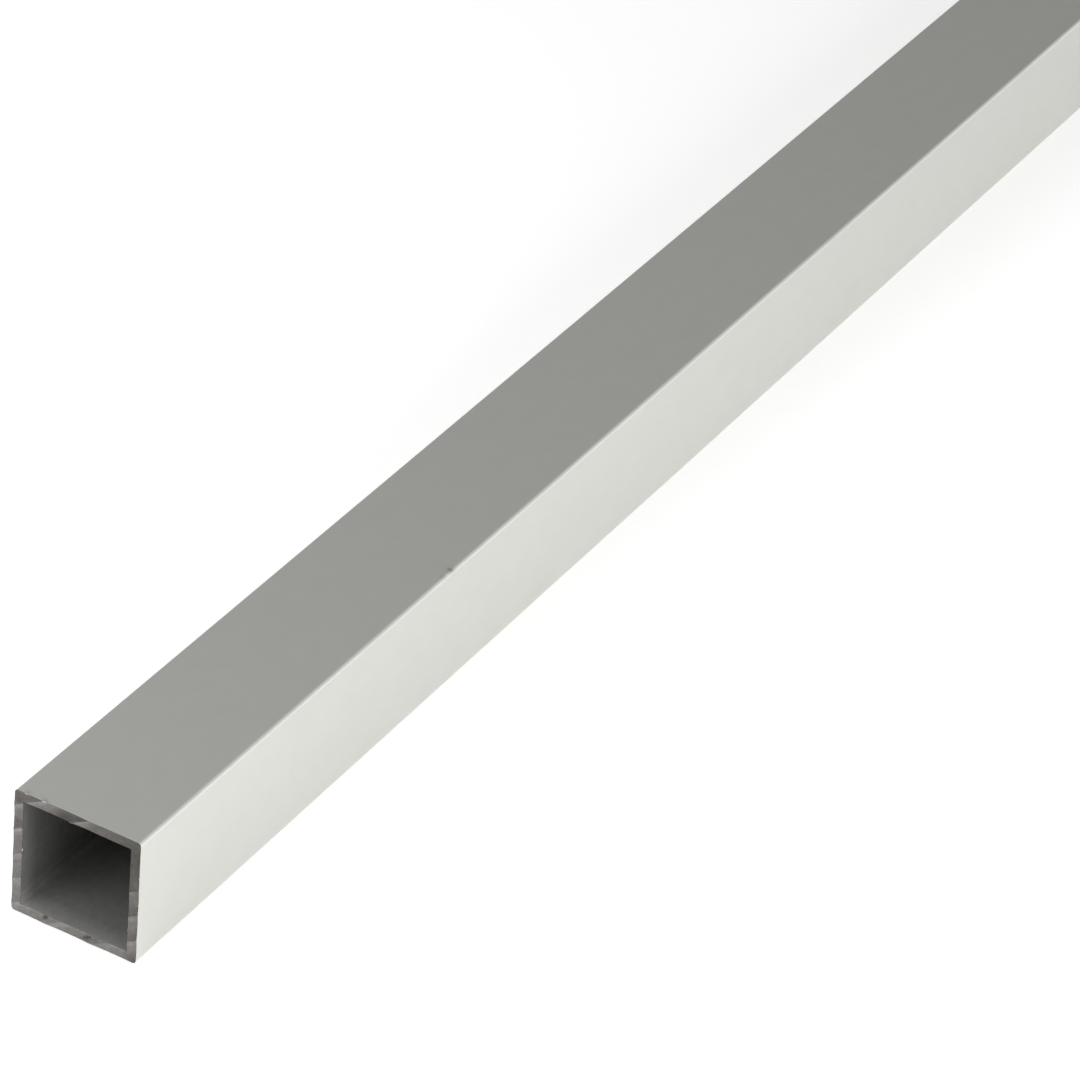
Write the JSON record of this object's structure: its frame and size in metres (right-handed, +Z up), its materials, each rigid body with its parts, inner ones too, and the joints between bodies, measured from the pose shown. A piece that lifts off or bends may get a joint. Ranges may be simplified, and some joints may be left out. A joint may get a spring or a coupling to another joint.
{
  "type": "square aluminium tube",
  "caption": "Straight square hollow tube in satin silver anodised aluminium, open right through, with slightly rounded long edges and square-sawn ends.",
  "frame": {"origin": "middle of the tube's length, at the centre of its bottom face", "axes": "+X along the tube towards its right end, +Z up from the face it lies on, +Y across to the back face"},
  "size_m": [1, 0.02, 0.02],
  "materials": {
    "silver_anodised_aluminium": "satin, natural silver anodised outside and inside, with bare saw-cut ends"
  },
  "bodies": {
    "root": {"square_tube": "silver_anodised_aluminium"}
  },
  "joints": []
}
